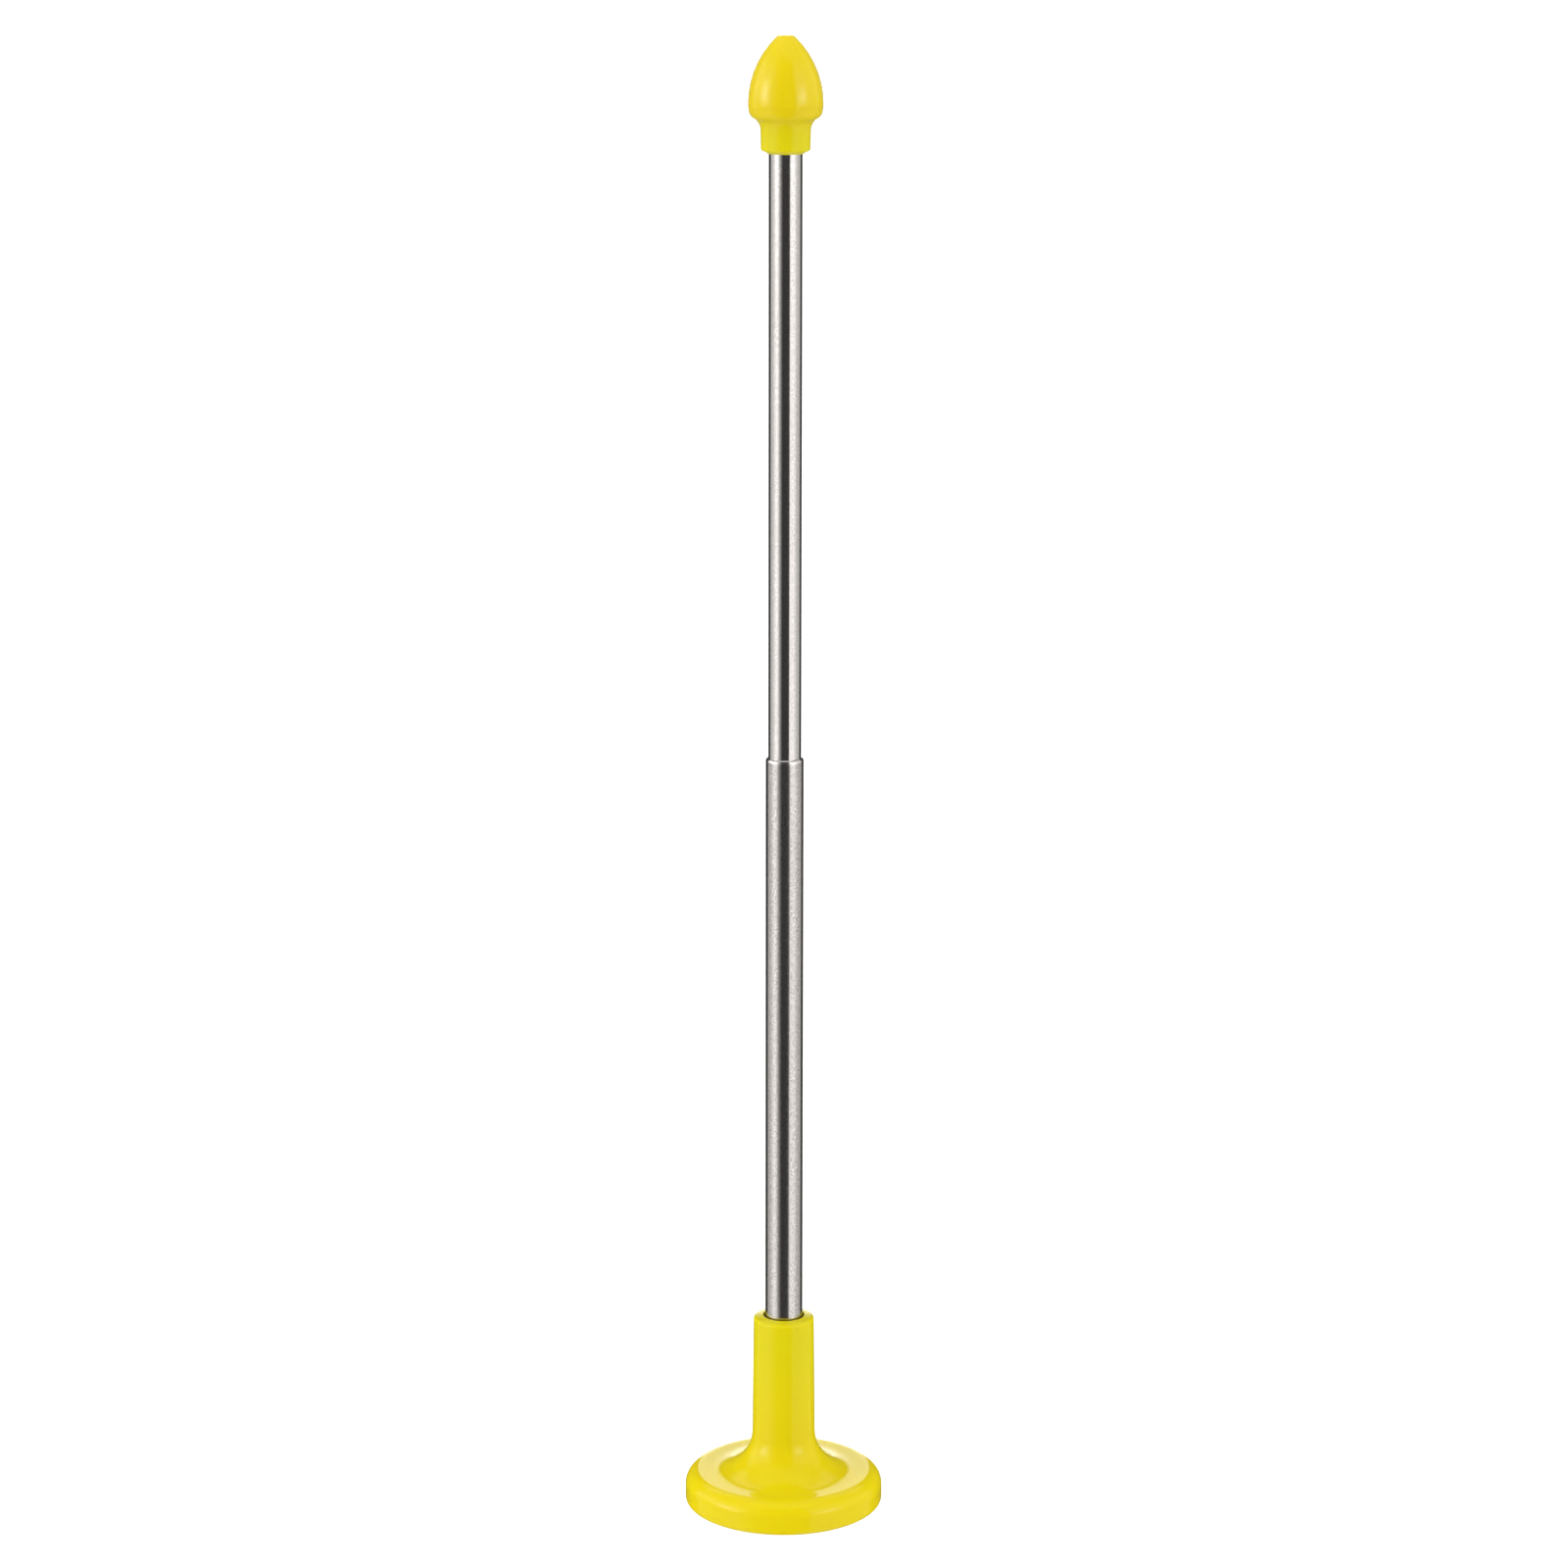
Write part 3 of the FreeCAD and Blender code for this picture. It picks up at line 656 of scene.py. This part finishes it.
# Soft-edged panels of light, added to the walls. Each one's azimuth from and to and how far its edges
# are soft, then the same for its elevation, all in degrees, and its level.
PANELS = [
    (-80, -56, 9, -1, 21, 4, 4.6),
    (-80, -62, 5, 4, 14, 3, 2.6),
    (-112, -66, 14, 0, 30, 5, 1.0),
    (39, 63, 8, -1, 18, 4, 3.3),
    (48, 66, 5, 2, 12, 3, 2.2),
    (-172, -126, 5, 37, 52, 5, 1.5),
    (126, 172, 5, 37, 52, 5, 1.2),
    (-181, -171, 2, -20, 31, 2, 2.3),
    (171, 181, 2, -20, 31, 2, 2.3),
    (-181, 181, 6, 56, 95, 6, 0.85),
]


def window(tree, value, low, high, soft):
    """1 where value is between low and high, falling to 0 over twice soft about each edge."""
    rise = tree.spread(value, low - soft, low + soft, 0.0, 1.0)
    fall = tree.spread(value, high - soft, high + soft, 1.0, 0.0)
    return tree.math("MULTIPLY", rise, fall)


def studio_world():
    """A soft light tent: a bright wall at each side in front with brighter panels on it, two high panels
    behind, a narrow pale backdrop straight behind the object, a pale top, and a dark gap round the
    camera. The camera sees plain white."""
    white, seen_strength = (1, 1, 1, 1), 1.05
    world = bpy.data.worlds.new("light_tent")
    bpy.context.scene.world = world
    world.use_nodes = True
    tree = Tree(world.node_tree)
    direction = tree.node("ShaderNodeTexCoord").outputs["Generated"]
    parts = tree.node("ShaderNodeSeparateXYZ", {0: direction}).outputs
    turn = tree.math("ARCTAN2", parts["X"], tree.math("MULTIPLY", parts["Y"], -1.0))
    azimuth = tree.math("MULTIPLY", turn, math.degrees(1))
    elevation = tree.math("MULTIPLY", tree.math("ARCSINE", parts["Z"]), math.degrees(1))
    walls = tree.ramp(tree.math("MULTIPLY_ADD", azimuth, 1 / 360, 0.5), WALLS)
    heights = tree.ramp(tree.math("MULTIPLY_ADD", elevation, 1 / 180, 0.5), WALL_HEIGHTS)
    light = tree.math("MULTIPLY", walls, heights)
    for left, right, soft_across, low, high, soft_up, level in PANELS:
        across = window(tree, azimuth, left, right, soft_across)
        panel = tree.math("MULTIPLY", across, window(tree, elevation, low, high, soft_up))
        light = tree.math("MULTIPLY_ADD", panel, level, light)
    tent = tree.node("ShaderNodeBackground", {"Color": light, "Strength": 1.0}).outputs[0]
    plain = tree.node("ShaderNodeBackground", {"Color": white, "Strength": seen_strength}).outputs[0]
    seen = tree.node("ShaderNodeLightPath").outputs["Is Camera Ray"]
    mixed = tree.node("ShaderNodeMixShader", {0: seen, 1: tent, 2: plain}).outputs[0]
    tree.node("ShaderNodeOutputWorld", {"Surface": mixed})


def soft_light(name, azimuth, elevation, distance, size, power):
    """A square softbox that points at the middle of the object and doesn't show in reflections."""
    a, e = math.radians(azimuth), math.radians(elevation)
    centre = (cad_box[0] + cad_box[1]) / 2
    towards = Vector((math.sin(a) * math.cos(e), -math.cos(a) * math.cos(e), math.sin(e)))
    data = bpy.data.lights.new(name, "AREA")
    data.shape, data.size, data.energy = "SQUARE", size, power
    lamp = bpy.data.objects.new(name, data)
    lamp.location = centre + towards * distance
    lamp.rotation_euler = (-towards).to_track_quat("-Z", "Y").to_euler()
    lamp.visible_camera = False
    lamp.visible_glossy = False
    bpy.context.scene.collection.objects.link(lamp)


def pale_floor():
    """A wide pale floor, with a glow that is stronger where the camera sees it. It is kept out of
    reflections and shadow rays, as the tent is open underneath."""
    half, grey, white = 6.0, (0.4, 0.4, 0.4, 1), (1, 1, 1, 1)
    glow_given, glow_seen = 0.48, 0.9
    mesh = bpy.data.meshes.new("floor")
    corners = [(-half, -half, 0), (half, -half, 0), (half, half, 0), (-half, half, 0)]
    mesh.from_pydata(corners, [], [(0, 1, 2, 3)])
    floor = bpy.data.objects.new("floor", mesh)
    bpy.context.scene.collection.objects.link(floor)
    material = bpy.data.materials.new("pale_floor")
    material.use_nodes = True
    tree = Tree(material.node_tree)
    paint = tree.node("ShaderNodeBsdfDiffuse", {"Color": grey}).outputs[0]
    seen = tree.node("ShaderNodeLightPath").outputs["Is Camera Ray"]
    strength = tree.spread(seen, 0.0, 1.0, glow_given, glow_seen)
    glow = tree.node("ShaderNodeEmission", {"Color": white, "Strength": strength}).outputs[0]
    both = tree.node("ShaderNodeAddShader", {0: paint, 1: glow}).outputs[0]
    tree.node("ShaderNodeOutputMaterial", {"Surface": both})
    mesh.materials.append(material)
    floor.visible_glossy = False
    floor.visible_shadow = False


def make_camera():
    """A long lens in front of the object and a little above it, looking slightly down."""
    place = Vector((-0.13, -855.2, 349.27)) * MM
    down, turn = math.radians(13.1), math.radians(0.09)
    data = bpy.data.cameras.new("camera")
    data.sensor_width, data.lens = 36.0, 102.375
    camera = bpy.data.objects.new("camera", data)
    camera.location = place
    tilt = Matrix.Rotation(math.pi / 2 - down, 3, "X")
    roll = Matrix.Rotation(turn, 3, "Z")
    camera.rotation_euler = (tilt @ roll).to_euler()
    bpy.context.scene.collection.objects.link(camera)
    bpy.context.scene.camera = camera


make_camera()
studio_world()
soft_light("soft_above", azimuth=0, elevation=85, distance=1.2, size=1.2, power=5.6)
soft_light("fill_right", azimuth=70, elevation=15, distance=1.2, size=0.8, power=1.0)
pale_floor()
bpy.context.scene.view_settings.view_transform = "Standard"
